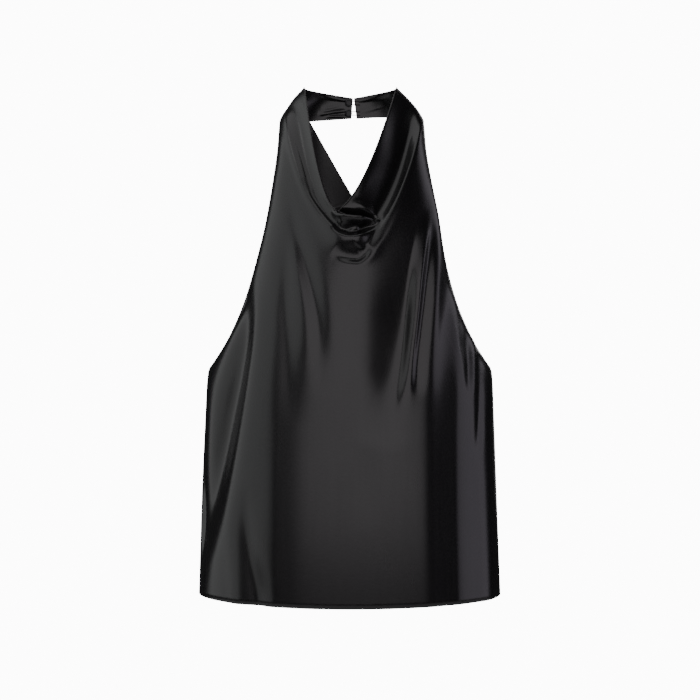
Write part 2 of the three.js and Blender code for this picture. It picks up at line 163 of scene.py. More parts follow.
def weave_group():
    """Cloth colour, roughness and bump height from the piece's UV map, which is in metres of cloth.

    Fine slanting waves give the threads' height, a soft noise mixes the dark and the light colour, and one
    drawn out along the cloth lifts the roughness in streaks."""
    group = bpy.data.node_groups.new("satin_weave", "ShaderNodeTree")
    face = group.interface
    for label, kind, value in (("Dark", "NodeSocketColor", SATIN_DARK),
                               ("Light", "NodeSocketColor", SATIN_LIGHT),
                               ("Roughness", "NodeSocketFloat", SATIN_ROUGHNESS)):
        face.new_socket(label, in_out="INPUT", socket_type=kind).default_value = value
    for label, kind in (("Color", "NodeSocketColor"), ("Roughness", "NodeSocketFloat"),
                        ("Height", "NodeSocketFloat")):
        face.new_socket(label, in_out="OUTPUT", socket_type=kind)
    add = group.nodes.new
    link = group.links.new
    given = add("NodeGroupInput")
    result = add("NodeGroupOutput")
    place = add("ShaderNodeUVMap")
    place.uv_map = "cloth"
    turned = add("ShaderNodeMapping")
    turned.inputs["Rotation"].default_value = (0.0, 0.0, THREAD_SLANT)
    link(place.outputs["UV"], turned.inputs["Vector"])
    threads = add("ShaderNodeTexWave")
    threads.inputs["Scale"].default_value = 1 / (THREAD_RADIAN * WAVE_NODE_RATE)
    threads.inputs["Distortion"].default_value = THREAD_WANDER
    threads.inputs["Detail Scale"].default_value = 2.0
    link(turned.outputs["Vector"], threads.inputs["Vector"])
    drift = add("ShaderNodeTexNoise")
    drift.inputs["Scale"].default_value = DRIFT_SCALE
    drift.inputs["Detail"].default_value = 3.0
    link(place.outputs["UV"], drift.inputs["Vector"])
    streaks = add("ShaderNodeMapping")
    streaks.inputs["Scale"].default_value = SLUB_SCALE
    link(place.outputs["UV"], streaks.inputs["Vector"])
    slub = add("ShaderNodeTexNoise")
    slub.inputs["Scale"].default_value = 1.0
    slub.inputs["Detail"].default_value = 2.0
    link(streaks.outputs["Vector"], slub.inputs["Vector"])
    colour = add("ShaderNodeMix")
    colour.data_type = "RGBA"
    link(drift.outputs["Fac"], colour.inputs["Factor"])
    link(given.outputs["Dark"], colour.inputs["A"])
    link(given.outputs["Light"], colour.inputs["B"])
    gloss = add("ShaderNodeMath")
    gloss.operation = "MULTIPLY_ADD"
    gloss.inputs[1].default_value = SLUB_ROUGHNESS
    link(slub.outputs["Fac"], gloss.inputs[0])
    link(given.outputs["Roughness"], gloss.inputs[2])
    link(colour.outputs["Result"], result.inputs["Color"])
    link(gloss.outputs["Value"], result.inputs["Roughness"])
    link(threads.outputs["Fac"], result.inputs["Height"])
    return group


WEAVE = weave_group()


def satin(name, roughness, relief, sheen, dark=SATIN_DARK, light=SATIN_LIGHT):
    """A satin finish that places the weave group with its own values."""
    finish = bpy.data.materials.new(name)
    finish.use_nodes = True
    tree = finish.node_tree
    cloth = tree.nodes["Principled BSDF"]
    cloth.inputs["Sheen Weight"].default_value = sheen
    cloth.inputs["Sheen Roughness"].default_value = 0.4
    weave = tree.nodes.new("ShaderNodeGroup")
    weave.node_tree = WEAVE
    weave.inputs["Dark"].default_value = dark
    weave.inputs["Light"].default_value = light
    weave.inputs["Roughness"].default_value = roughness
    bump = tree.nodes.new("ShaderNodeBump")
    bump.inputs["Strength"].default_value = relief
    bump.inputs["Distance"].default_value = THREAD_HEIGHT
    tree.links.new(weave.outputs["Height"], bump.inputs["Height"])
    tree.links.new(weave.outputs["Color"], cloth.inputs["Base Color"])
    tree.links.new(weave.outputs["Roughness"], cloth.inputs["Roughness"])
    tree.links.new(bump.outputs["Normal"], cloth.inputs["Normal"])
    return finish


SATIN_OUTSIDE = satin("satin_outside", roughness=SATIN_ROUGHNESS, relief=0.10, sheen=0.0)
SATIN_INSIDE = satin("satin_inside", roughness=0.50, relief=0.20, sheen=0.02)

EDGE = {
    # the outer edge by height, its reach to the left and right and its y: side seam, armhole, shoulder line
    "z": [-621, -500, -400, -342, -327, -302, -253, -204, -155, -104, -64, -26, -12, 3, 18.5],
    "left": [190, 186.5, 182, 178.5, 168.5, 152.5, 130, 115, 103.5, 95.5, 91, 89, 82, 72.5, 58.5],
    "right": [189, 184.5, 181, 178.5, 169, 153, 131, 117.5, 109, 101, 95.5, 93.5, 87, 75, 59.5],
    "y": [-70, -70, -70, -70, -77, -89, -107, -115, -111, -98, -80, -57, -53, -51, -50],
}

FRONT_COLUMNS = ("x", "y", "z", "left_end", "right_end", "left_sag", "right_sag", "round", "steps")
FRONT_ROWS = [
    # from hem to rim: lowest point, heights of the two ends, how the two arms hang, how the row rounds away,
    # and the grid steps to the next row
    (0, -190, -622.5, -620, -621, 2, 2, 1, 12),
    (0, -191, -540, -540, -540, 2, 2, 1, 13),
    (0, -190, -450, -450, -450, 2, 2, 1, 11),
    (0, -189, -384, -380, -380, 2, 2, 1, 7),
    (0, -189, -354, -342, -342, 2, 2, 1, 10),
    (1, -188, -318, -278, -275, 2, 2, 1.05, 12),
    (2, -187, -280, -200, -190, 2, 1.9, 1.1, 14),
    (3, -185, -246, -120, -100, 2.1, 1.8, 1.15, 13),
    (4, -184, -225, -72, -52, 2.1, 1.75, 1.15, 13),
    (4.7, -183, -209.8, -44, -26, 2.2, 1.75, 1.15, 14),
    (5, -182, -193, -26, -20, 2.3, 1.9, 1.2, 13),
    (0, -180, -181, -16, -15, 2.2, 2.1, 1.25, 13),
    (0, -177, -167, -8, -9, 2.7, 2.6, 1.3, 12),
    (2, -174, -157, -1, -3, 2.8, 3.2, 1.35, 8),
    (-4, -171, -152, 6, 4, 2.6, 3, 1.4, 7),
    (-13, -169, -149, 12, 11, 2.3, 2, 1.4, 6),
    (-15.6, -168, -147, 18.5, 18.5, 1.9, 1.6, 1.4, 0),
]
FRONT_TURNS = 252
EASE_PASSES = 90
EASE_END_SHARE = 0.30
FOLDS_FADE_FROM = 0.93
CREST_MM = 1.4
FOLD_CUTOFF = 3.2

# each fold: how blunt its crest is, then its course as x, z, height, and its reach to either side of the
# course: to the left and right of a fold that runs down, to the outside and inside of one round the cowl
FRONT_FOLDS = {
    "cowl_outer_lip": (1.6, [
        (-19, -205, 0, 7, 4), (-10, -209, 0.5, 6, 3.5), (0, -212, 0.8, 5, 3.5), (8, -212, 0.9, 5, 3.5),
        (19, -207, 1.2, 5, 4), (29, -197, 1.3, 6, 6), (37, -184, 1, 6, 8), (50, -163, 0.5, 6, 8),
        (64, -135, 0.2, 6, 8), (77, -101, 0, 5, 6)]),
    "cowl_outer_pocket": (2.0, [
        (14, -200, 0, 5, 7), (21, -188, -3.4, 8, 9), (30, -169, -6.5, 10, 13), (41, -143, -6, 10, 17),
        (51, -120, -5.5, 10, 18), (63, -92, -4.5, 8.5, 16), (73, -67, -3, 7, 15), (81, -41, -1, 5, 12),
        (86, -20, 0, 4, 10)]),
    "cowl_under_lip": (2.0, [
        (-20, -195, 0, 6, 10), (-11, -201, -2.2, 6, 12), (-1, -204, -4.2, 5.5, 14),
        (8, -205, -5.2, 5.5, 15), (17, -200, -4.8, 5.5, 13), (24, -190, 0, 6, 9)]),
    "right_rim_crest": (1.9, [
        (49, -2, 0, 8, 8), (41, -44, 0.5, 10, 9), (29, -84, 1, 11, 9), (14, -115, 1.4, 10, 9),
        (2, -135, 1.2, 8, 7), (-7, -149, 0, 5, 4)]),
    "cowl_middle_lip": (1.8, [
        (-58, -116, 0, 6, 4), (-51, -129, 0.6, 6, 4), (-41, -143, 1.4, 6, 4), (-31, -157, 2.2, 7, 4),
        (-20, -171, 3, 9, 4), (-11, -178, 3.6, 10, 4), (0, -181, 3.8, 10, 4), (10, -179, 3.6, 10, 4),
        (19, -172, 3.2, 9, 4), (26, -164, 1.8, 7, 3), (31, -158, 0, 4, 2)]),
    "cowl_middle_crease": (1.9, [
        (-60, -108, 0, 2.5, 4), (-52, -121, -0.8, 2.5, 5), (-42, -135, -1.6, 2.5, 6),
        (-30, -150, -2.6, 2.5, 6), (-19, -162, -3.6, 3, 5), (-12, -167, 0, 3, 4)]),
    "cowl_middle_pocket": (2.2, [
        (-20, -164, 0, 5, 5), (-11, -169, -6, 5.5, 6), (0, -170, -9, 6, 7), (12, -169, -9, 6, 7),
        (23, -164, -7, 5, 5), (32, -159, 0, 4, 3)]),
    "cowl_pocket_light": (2.0, [
        (-5, -171, 0, 2.5, 2.5), (1, -170, 2.4, 2.5, 2.5), (8, -168, 2.4, 2.5, 2.5),
        (14, -168, 0, 2.5, 2.5)]),
    "cowl_inner_lip": (1.7, [
        (-23, -148, 0, 3, 2), (-16, -152, 3, 3.5, 2), (-6, -156, 6, 3.5, 2.2), (7, -158, 7, 3, 2.4),
        (22, -158, 6.5, 3, 2.2), (31, -157, 4, 2.5, 2), (36, -155, 0, 2, 2)]),
    "cowl_inner_crease": (2.0, [
        (-19, -146, 0, 2, 2), (-11, -148, -6, 2.6, 2.5), (2, -150, -10, 3.2, 3), (17, -151, -10, 3.2, 3),
        (28, -153, -7, 2.6, 2.5), (35, -155, 0, 2, 2)]),
    "cowl_right_swell": (2.0, [
        (79, 3, 0, 9, 8), (74, -24, 1.4, 9, 8), (67, -54, 1.8, 9, 8), (58, -86, 0.8, 8, 7),
        (49, -110, 0, 8, 7)]),
    "cowl_low_swell": (2.0, [
        (2, -137, 0, 5, 5), (12, -141, 2.5, 5, 5), (24, -146, 2, 4, 5), (32, -150, 0, 3, 4)]),
    "left_rim_swell": (1.9, [
        (-85, -2, 0, 8, 9), (-78, -26, 2.6, 8, 10), (-71, -54, 4.4, 8, 11), (-63, -84, 4.6, 8, 11),
        (-55, -110, 3.6, 8, 10), (-44, -134, 1.6, 7, 9), (-31, -152, 0, 6, 7)]),
    "left_rim_crease": (2.0, [
        (-61, 15, 0, 3, 2.5), (-55, -7, -0.8, 3, 2), (-46, -41, -0.9, 3, 2), (-38, -73, -0.9, 3, 2),
        (-31, -104, -0.8, 3, 2), (-26, -132, 0, 3, 2)]),
    "left_shoulder_crease": (1.9, [
        (-82, -91, 0, 8, 9), (-77, -115, -0.8, 8, 9), (-72, -140, -1.5, 8, 10), (-64, -175, -2.2, 8, 10),
        (-54, -212, -2.6, 8, 11), (-45, -248, -2.8, 8, 12), (-39, -282, -2.6, 8, 13),
        (-37, -313, -2, 8, 14), (-36, -341, -0.8, 8, 16), (-34, -370, 0, 8, 16)]),
    "left_shoulder_swell": (2.0, [
        (-84, -119, 0, 8, 6), (-75, -176, 0.6, 10, 7), (-64, -217, 0.8, 12, 7), (-55, -255, 0.8, 14, 7),
        (-50, -297, 0.5, 14, 8), (-48, -327, 0, 14, 8)]),
    "left_long_trough": (1.9, [
        (-75, -145, 0, 7, 9), (-76, -182, -1.2, 8, 9), (-77, -216, -2.2, 9, 10),
        (-77, -255, -2.4, 9, 11), (-74, -303, -1.8, 10, 13), (-72, -351, -1, 11, 14),
        (-69, -410, 0, 12, 16)]),
    "left_long_crest": (1.9, [
        (-98, -175, 0, 12, 8), (-97, -218, 0.5, 14, 9), (-96, -279, 0.7, 16, 10),
        (-95, -351, 0.7, 17, 11), (-93, -423, 0.7, 18, 12), (-93, -518, 0.7, 18, 12),
        (-94, -661, 0.7, 18, 12)]),
    "left_side_trough": (1.9, [
        (-127, -224, 0, 5, 6), (-128, -254, -3.4, 8, 11), (-132, -296, -7.4, 10, 15),
        (-141, -342, -11, 12, 18), (-152, -388, -13.5, 13, 21), (-163, -440, -14, 13, 22),
        (-174, -492, -12.5, 12, 22), (-183, -539, -8, 10, 18), (-190, -587, -2.8, 8, 12),
        (-190, -626, 0, 8, 8)]),
    "left_side_crest": (1.9, [
        (-113, -237, 0, 6, 8), (-113, -269, 0.8, 7, 10), (-115, -300, 1.4, 8, 13),
        (-121, -344, 1.8, 10, 17), (-128, -390, 2, 12, 20), (-137, -441, 2, 13, 22),
        (-147, -492, 1.8, 13, 22), (-157, -539, 1, 12, 16), (-167, -580, 0, 8, 10)]),
    "left_hem_crest": (1.9, [
        (-148, -492, 0, 10, 10), (-145, -526, 0.8, 10, 10), (-143, -564, 1.6, 10, 10),
        (-138, -611, 2.2, 10, 10), (-135, -664, 2.3, 10, 10)]),
    "left_hem_trough": (1.9, [
        (-128, -479, 0, 8, 8), (-126, -515, -1.8, 9, 8), (-121, -558, -3.2, 10, 9),
        (-111, -609, -4, 12, 10), (-108, -662, -4.2, 12, 10)]),
    "middle_crest": (2.0, [
        (-7, -206, 0, 34, 22), (0, -244, 1.5, 36, 24), (2, -315, 1.8, 36, 26), (2, -374, 1.4, 36, 26),
        (0, -428, 0.4, 36, 26), (-2, -481, 0, 36, 26)]),
    "middle_trough": (1.9, [
        (19, -422, 0, 12, 12), (19, -469, -0.5, 14, 14), (19, -528, 0, 14, 14)]),
    "right_broad_trough": (1.9, [
        (81, -148, 0, 20, 5), (77, -182, -1.5, 32, 5), (73, -225, -7, 44, 5.5), (69, -279, -12, 47, 5.5),
        (63, -329, -12, 44, 7), (52, -377, -7, 34, 11), (44, -429, 0, 28, 15)]),
    "right_first_crest": (1.9, [
        (98, -141, 0, 5, 6), (92, -179, 2.4, 5, 6), (85, -226, 4, 6, 6), (78, -282, 4.4, 6.5, 6.5),
        (70, -332, 3.6, 8, 8), (63, -372, 1.8, 11, 10), (59, -412, 0, 12, 14)]),
    "right_between_trough": (1.9, [
        (99, -159, 0, 5, 5), (96, -188, -2, 5.5, 5.5), (91, -240, -3.4, 6, 6), (85, -291, -3.8, 6, 6),
        (80, -334, -2.8, 6, 7), (79, -370, 0, 6, 8)]),
    "right_second_crest": (1.9, [
        (103, -94, 0, 7, 6), (106, -140, 1.6, 7, 7), (106, -188, 2.4, 7, 7), (104, -242, 2.6, 7, 7),
        (101, -291, 2.2, 8, 8), (97, -341, 1.4, 11, 9), (93, -387, 0.6, 16, 10), (92, -434, 0, 20, 10)]),
    "right_deep_trough": (2.0, [
        (123, -207, 0, 6, 8), (121, -242, -1.8, 9, 9), (117, -291, -1.8, 12, 12),
        (114, -341, -1.2, 13, 13), (112, -399, -0.6, 13, 13), (110, -471, -0.4, 13, 13),
        (110, -543, -0.4, 13, 13), (112, -615, -0.5, 13, 13), (113, -662, -0.5, 13, 13)]),
    "right_deep_ridge": (1.9, [
        (138, -253, 0, 7, 9), (134, -303, 0.5, 7, 12), (131, -363, 0.8, 7, 16), (129, -424, 0.9, 7, 18),
        (129, -496, 0.9, 7, 18), (130, -568, 0.9, 7, 18), (131, -664, 0.9, 7, 18)]),
    "right_deep_edge": (1.9, [
        (92, -375, 0, 14, 10), (92, -423, 0.45, 14, 10), (92, -494, 0.6, 14, 10),
        (93, -566, 0.6, 14, 10), (94, -661, 0.6, 14, 10)]),
    "right_side_swell": (2.0, [
        (162, -376, 0, 12, 8), (165, -426, 1.6, 13, 8), (167, -499, 2.2, 13, 8), (169, -573, 2.2, 13, 8),
        (171, -669, 2, 13, 8)]),
    "right_armhole_crease_high": (1.9, [
        (135, -253, 0, 4, 5), (136, -278, -1.4, 4.5, 5), (138, -305, -1.4, 4.5, 5), (139, -332, 0, 4, 5)]),
    "right_armhole_crease_middle": (1.9, [
        (144, -285, -0.8, 4, 5), (145, -310, -2.4, 4.5, 5.5), (145, -335, -2.4, 4.5, 6),
        (144, -369, 0, 4, 6)]),
    "right_armhole_crease_low": (1.9, [
        (157, -300, -0.6, 4, 5), (160, -325, -2.4, 4.5, 5.5), (160, -359, -3, 4.5, 6),
        (158, -398, -2.4, 4.5, 6), (154, -444, 0, 4, 6)]),
    "right_armhole_swell": (1.9, [
        (152, -295, 0.4, 4, 4), (153, -317, 1, 4, 4), (152, -347, 0.9, 4, 4), (150, -376, 0, 4, 4)]),
}


def smooth_column(at, value, position):
    """A smooth curve through a table's column, with no overshoot: cubic pieces whose slope at each row is
    the harmonic mean of the slopes beside it, or level where those disagree."""
    at = np.asarray(at, float)
    value = np.asarray(value, float)
    slope = np.diff(value) / np.diff(at)
    before = slope[:-1]
    after = slope[1:]
    together = before * after > 0
    middle = np.where(together, 2 * before * after / np.where(together, before + after, 1), 0)
    tangent = np.concatenate([slope[:1], middle, slope[-1:]])
    inside = np.clip(position, at[0], at[-1])
    i = np.clip(np.searchsorted(at, inside, side="left") - 1, 0, len(at) - 2)
    width = at[i + 1] - at[i]
    s = (inside - at[i]) / width
    rise = s * s * (3 - 2 * s)
    leave = s * (1 - s) ** 2 * width
    arrive = s * s * (s - 1) * width
    return value[i] * (1 - rise) + value[i + 1] * rise + leave * tangent[i] + arrive * tangent[i + 1]


def edge_point(side, z):
    """The panel's outer edge at these heights, on the left (-1) or the right (1), in millimetres."""
    reach = np.where(side < 0, -smooth_column(EDGE["z"], EDGE["left"], z),
                     smooth_column(EDGE["z"], EDGE["right"], z))
    return np.stack(np.broadcast_arrays(reach, smooth_column(EDGE["z"], EDGE["y"], z), z), axis=-1)


def smoothstep(value, low, high):
    """0 below low, 1 above high, and a smooth rise between."""
    s = np.clip((value - low) / (high - low), 0, 1)
    return s * s * (3 - 2 * s)


def table_rows(rows, names):
    """The table's columns at the grid's rows: each table row is followed by as many steps as it asks for."""
    table = dict(zip(names, np.array(rows, float).T))
    steps = table["steps"].astype(int)
    position = np.concatenate([i + np.arange(n) / n for i, n in enumerate(steps) if n] + [[len(rows) - 1]])
    index = np.arange(len(rows))
    return {name: smooth_column(index, table[name], position)[:, None] for name in names[:-1]}


def hanging_surface(row, turn):
    """Rows that hang between two ends: sideways as the sine of the turn, forward as a power of its cosine,
    and up as a power of the sine, so that a row is lowest in its middle and turns back at its ends."""
    side = np.where(turn < 0, -1.0, 1.0)[None, :]
    along = np.abs(np.sin(turn * np.pi / 2))[None, :]
    across = np.cos(turn * np.pi / 2).clip(0)[None, :]
    end = edge_point(side, np.where(side < 0, row["left_end"], row["right_end"]))
    sag = np.where(side < 0, row["left_sag"], row["right_sag"])
    x = row["x"] + (end[..., 0] - row["x"]) * along
    y = end[..., 1] + (row["y"] - end[..., 1]) * across ** row["round"]
    z = row["z"] + (end[..., 2] - row["z"]) * along ** sag
    return np.stack([x, y, z], axis=-1)


def grid_normals(grid):
    """Unit normals of a grid of points: the cross product of its two directions."""
    normal = np.cross(np.gradient(grid, axis=1), np.gradient(grid, axis=0))
    return normal / np.linalg.norm(normal, axis=-1, keepdims=True).clip(1e-12)


def eased(grid, turn, passes):
    """The grid with each column's kinks evened out: every pass moves a point a quarter of the way to each of
    its two neighbours in the column, less near a row's ends and not at all at them."""
    weight = 0.25 * smoothstep(1 - np.abs(turn), 0.0, EASE_END_SHARE)[None, :, None]
    even = grid.copy()
    for _ in range(passes):
        even[1:-1] += weight * (even[2:] + even[:-2] - 2 * even[1:-1])
    return even


def course_points(points, steps=60):
    """A fold's course as a close line of points: each of its columns smooth over the length run so far."""
    table = np.array(points, float)
    run = np.concatenate([[0], np.cumsum(np.hypot(*np.diff(table[:, :2], axis=0).T))])
    place = np.linspace(0, run[-1], steps)
    return np.stack([smooth_column(run, column, place) for column in table.T], axis=-1)


def fold_height(folds, x, z):
    """The sum of the folds at points seen from the front. A fold's height falls off with the distance from
    its course as exp(-(distance / reach) ^ bluntness), with its own reach on each side of the course. Its
    crest is rounded by CREST_MM, and it stops FOLD_CUTOFF times its widest reach from the course's box."""
    flat = np.stack([x.ravel(), z.ravel()], axis=-1)
    total = np.zeros(len(flat))
    for blunt, points in folds.values():
        line = course_points(points)
        cutoff = FOLD_CUTOFF * line[:, 3:].max()
        low = line[:, :2].min(0) - cutoff
        high = line[:, :2].max(0) + cutoff
        near = np.flatnonzero(((flat > low) & (flat < high)).all(axis=1))
        start = line[:-1, :2]
        step = np.diff(line[:, :2], axis=0)
        offset = flat[near][:, None, :] - start[None]
        share = ((offset * step).sum(-1) / (step ** 2).sum(-1)).clip(0, 1)
        away = offset - share[..., None] * step
        distance = np.hypot(away[..., 0], away[..., 1])
        best = distance.argmin(axis=1)
        pick = np.arange(len(near))
        part = share[pick, best][:, None]
        values = line[best, 2:] * (1 - part) + line[best + 1, 2:] * part
        beside = step[best, 0] * offset[pick, best, 1] - step[best, 1] * offset[pick, best, 0]
        width = np.where(beside > 0, values[:, 2], values[:, 1])
        spread = np.hypot(distance[pick, best], CREST_MM) ** blunt - CREST_MM ** blunt
        total[near] += values[:, 0] * np.exp(-spread / width ** blunt)
    return total.reshape(x.shape)


def front_surface():
    """The front panel's middle surface: the hanging surface moved along its normals by its folds, which fade
    at the panel's two outer edges."""
    turn = np.linspace(-1, 1, FRONT_TURNS + 1)
    base = eased(hanging_surface(table_rows(FRONT_ROWS, FRONT_COLUMNS), turn), turn, EASE_PASSES)
    height = fold_height(FRONT_FOLDS, base[..., 0], base[..., 2])
    clear = 1 - smoothstep(np.abs(turn), FOLDS_FADE_FROM, 1)
    return base + grid_normals(base) * (height * clear)[..., None]


def cloth_lengths(grid):
    """UV in metres of cloth: the mean distance walked along each direction of the grid."""
    across = np.linalg.norm(np.diff(grid, axis=1), axis=-1).mean(0)
    up = np.linalg.norm(np.diff(grid, axis=0), axis=-1).mean(1)
    u = np.concatenate([[0], np.cumsum(across)])
    v = np.concatenate([[0], np.cumsum(up)])
    return np.stack(np.meshgrid(u, v), axis=-1)


def cloth_piece(name, grid_mm, thickness=SATIN_THICKNESS, outer_finish=SATIN_OUTSIDE,
                inner_finish=SATIN_INSIDE):
    """A thin closed shell of cloth on a grid of points: an outer and an inner side half a thickness each way,
    and a rounded edge, one line of points that stands out between them."""
    grid = grid_mm * MM
    normal = grid_normals(grid)
    lines, width = grid.shape[:2]
    outer = grid + normal * thickness / 2
    inner = grid - normal * thickness / 2
    number = np.arange(lines * width).reshape(lines, width)
    ring = np.concatenate([number[0, :-1], number[:-1, -1], number[-1, :0:-1], number[:0:-1, 0]])
    inward = np.concatenate([number[1, :-1], number[:-1, -2], number[-2, :0:-1], number[:0:-1, 1]])
    flat = grid.reshape(-1, 3)
    out = flat[ring] - flat[inward]
    out /= np.linalg.norm(out, axis=-1, keepdims=True).clip(1e-12)
    lip = flat[ring] + out * thickness / 2
    points = np.concatenate([outer.reshape(-1, 3), inner.reshape(-1, 3), lip])
    a = number[:-1, :-1].ravel()
    side = np.stack([a, a + 1, a + width + 1, a + width], axis=1)
    half = lines * width
    under = (side + half)[:, ::-1]
    here = np.arange(len(ring))
    after = np.roll(here, -1)
    edge_out = np.stack([ring[here], 2 * half + here, 2 * half + after, ring[after]], axis=1)
    edge_in = np.stack([2 * half + here, half + ring[here], half + ring[after], 2 * half + after], axis=1)
    faces = np.concatenate([side, under, edge_out, edge_in])
    mesh = bpy.data.meshes.new(name)
    mesh.vertices.add(len(points))
    mesh.vertices.foreach_set("co", points.astype(np.float32).ravel())
    mesh.loops.add(faces.size)
    mesh.loops.foreach_set("vertex_index", faces.astype(np.int32).ravel())
    mesh.polygons.add(len(faces))
    mesh.polygons.foreach_set("loop_start", np.arange(0, faces.size, 4, dtype=np.int32))
    mesh.polygons.foreach_set("loop_total", np.full(len(faces), 4, np.int32))
    mesh.polygons.foreach_set("use_smooth", np.ones(len(faces), bool))
    turned_in = np.zeros(len(faces), np.int32)
    turned_in[len(side):len(side) + len(under)] = 1
    mesh.polygons.foreach_set("material_index", turned_in)
    mesh.update(calc_edges=True)
    lengths = cloth_lengths(grid).reshape(-1, 2)
    lengths = np.concatenate([lengths, lengths, lengths[ring]])
    layer = mesh.uv_layers.new(name="cloth")
    layer.data.foreach_set("uv", lengths[faces.ravel()].astype(np.float32).ravel())
    mesh.materials.append(outer_finish)
    mesh.materials.append(inner_finish)
    made = bpy.data.objects.new(name, mesh)
    bpy.context.scene.collection.objects.link(made)
    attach(made, "root")
    return made


front_grid = front_surface()
front_panel = cloth_piece("front_cloth", front_grid)
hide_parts("front_panel")

# The cowl facing
# The panel's own cloth, turned in over a soft roll at the rim and drawn back tight to its free edge. It is
# sewn down with the neck bands at the shoulder lines.
RIM_ROLL_MM = 0.75
RIM_ROLL_STEPS = 8
FACING_EDGE = {"x": 14.0, "y": -138.0, "z": -145.0, "end_z": 5.0, "left_sag": 1.08, "right_sag": 1.45,
               "round": 1.8}
FACING_END_INSET_MM = 3.0
FACING_STEPS = 24
# painted light: the facing's dark and light colours are the satin's own raised about fourfold, so that it
# shows lighter in the cowl's shade
FACING_BRIGHTENED_DARK = (0.013, 0.012, 0.013, 1.0)
FACING_BRIGHTENED_LIGHT = (0.020, 0.018, 0.019, 1.0)


def facing_surface(front):
    """Half a turn over the rim, from the panel's outer side to its inner side, then straight lines back to
    the facing's free edge."""
    turn = np.linspace(-1, 1, front.shape[1])
    rim = front[-1]
    out = grid_normals(front)[-1]
    up = rim - front[-2]
    up /= np.linalg.norm(up, axis=-1, keepdims=True)
    round_rim = np.linspace(0, np.pi, RIM_ROLL_STEPS + 1)[:, None, None]
    roll = rim + RIM_ROLL_MM * (out * np.cos(round_rim) + up * np.sin(round_rim))
    row = {name: np.array([[value]]) for name, value in FACING_EDGE.items()}
    row["left_end"] = row["end_z"]
    row["right_end"] = row["end_z"]
    free_edge = hanging_surface(row, turn)[0]
    free_edge[:, 0] -= np.sign(turn) * FACING_END_INSET_MM * np.abs(np.sin(turn * np.pi / 2))
    share = np.linspace(0, 1, FACING_STEPS + 1)[1:, None, None]
    return np.concatenate([roll, roll[-1] * (1 - share) + free_edge * share])


# the facing's satin finish, with painted light in its raised colours
facing_brightened_finish = satin("satin_facing_brightened", roughness=0.40, relief=0.10, sheen=0.0, dark=FACING_BRIGHTENED_DARK,
                      light=FACING_BRIGHTENED_LIGHT)
facing = cloth_piece("cowl_facing_cloth", facing_surface(front_grid), outer_finish=facing_brightened_finish)
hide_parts("cowl_facing")

# The back panel
# A plain piece of the same satin, straight across the top at underarm height, and joined to the front by the
# side seams. It hangs in a few soft folds.
SEAM_GAP_MM = 0.3
BACK_COLUMNS = ("z", "middle_z", "depth", "steps")
BACK_ROWS = [
    (-620.5, -621.5, 106, 22),
    (-540, -540, 105, 24),
    (-450, -451, 97, 20),
    (-380, -386, 93, 16),
    (-342, -352, 92, 0),
]
BACK_TURNS = 150
BACK_FOLDS_FADE_FROM = 0.9
BACK_FOLDS = {
    "left_fold": (1.9, [(-103, -340, 0, 9, 10), (-101, -390, -3, 10, 12), (-102, -470, -6, 12, 14),
                        (-107, -560, -7, 14, 18), (-110, -640, -7, 15, 20)]),
    "middle_fold": (1.9, [(-22, -385, 0, 12, 12), (-20, -440, -3, 13, 14), (-22, -520, -5, 15, 17),
                          (-26, -600, -6, 17, 20), (-28, -640, -6, 17, 20)]),
    "right_fold": (1.9, [(84, -335, 0, 10, 10), (82, -400, -4, 11, 12), (84, -490, -6, 13, 14),
                         (88, -580, -6, 15, 17), (90, -640, -6, 16, 18)]),
    "right_ridge": (1.8, [(126, -340, 0, 9, 8), (125, -410, 2.5, 10, 9), (127, -520, 3.5, 12, 10),
                          (128, -640, 3.5, 13, 11)]),
    "left_ridge": (1.8, [(-60, -345, 0, 12, 10), (-62, -430, 2, 14, 12), (-64, -540, 3, 16, 14),
                         (-66, -640, 3, 18, 15)]),
}


def back_surface():
    """Half sections from side seam to side seam, deepest in the middle, moved out by the folds."""
    row = table_rows(BACK_ROWS, BACK_COLUMNS)
    turn = np.linspace(1, -1, BACK_TURNS + 1)[None, :]
    along = np.sin(turn * np.pi / 2)
    z = row["middle_z"] + (row["z"] - row["middle_z"]) * along ** 2
    x = np.abs(along) * edge_point(np.where(turn < 0, -1.0, 1.0), z)[..., 0]
    y = SIDE_SEAM_Y / MM + SEAM_GAP_MM + row["depth"] * np.cos(turn * np.pi / 2).clip(0)
    plain = np.stack([x, y, z], axis=-1)
    clear = 1 - smoothstep(np.abs(turn), BACK_FOLDS_FADE_FROM, 1)
    return plain + grid_normals(plain) * (fold_height(BACK_FOLDS, x, z) * clear)[..., None]


back_panel = cloth_piece("back_cloth", back_surface())
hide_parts("back_panel")

